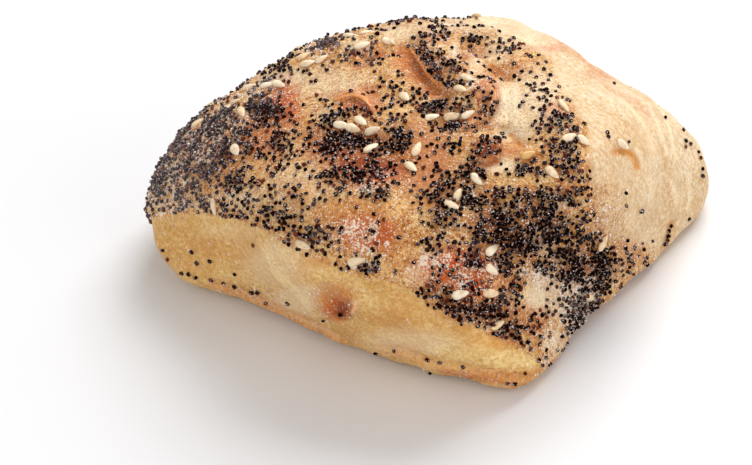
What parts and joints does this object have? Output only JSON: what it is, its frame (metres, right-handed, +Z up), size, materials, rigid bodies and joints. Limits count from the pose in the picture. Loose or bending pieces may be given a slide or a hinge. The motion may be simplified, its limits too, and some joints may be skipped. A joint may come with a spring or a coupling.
{
  "type": "sesame roll",
  "caption": "Rustic bread roll with a folded, seeded top, one seeded end, a bare cut front and a bare stretched slope.",
  "frame": {"origin": "on the surface the roll lies on, under the middle of its box", "axes": "+Z up, +X along the roll's length, -Y towards the bare cut front"},
  "size_m": [0.1163, 0.1041, 0.0459],
  "materials": {
    "crust": "baked bread crust, matt with a faint sheen, golden where it was cut or stretched, brown and amber under the seeds",
    "poppy_seed": "blue-black to brown seed coat, finely pitted, with small highlights",
    "sesame_seed": "cream hulled seed, smooth and slightly waxy, toasted at the edges",
    "flour": "dry white flour and pale semolina grains"
  },
  "bodies": {
    "root": {"roll": "crust"}
  },
  "joints": []
}
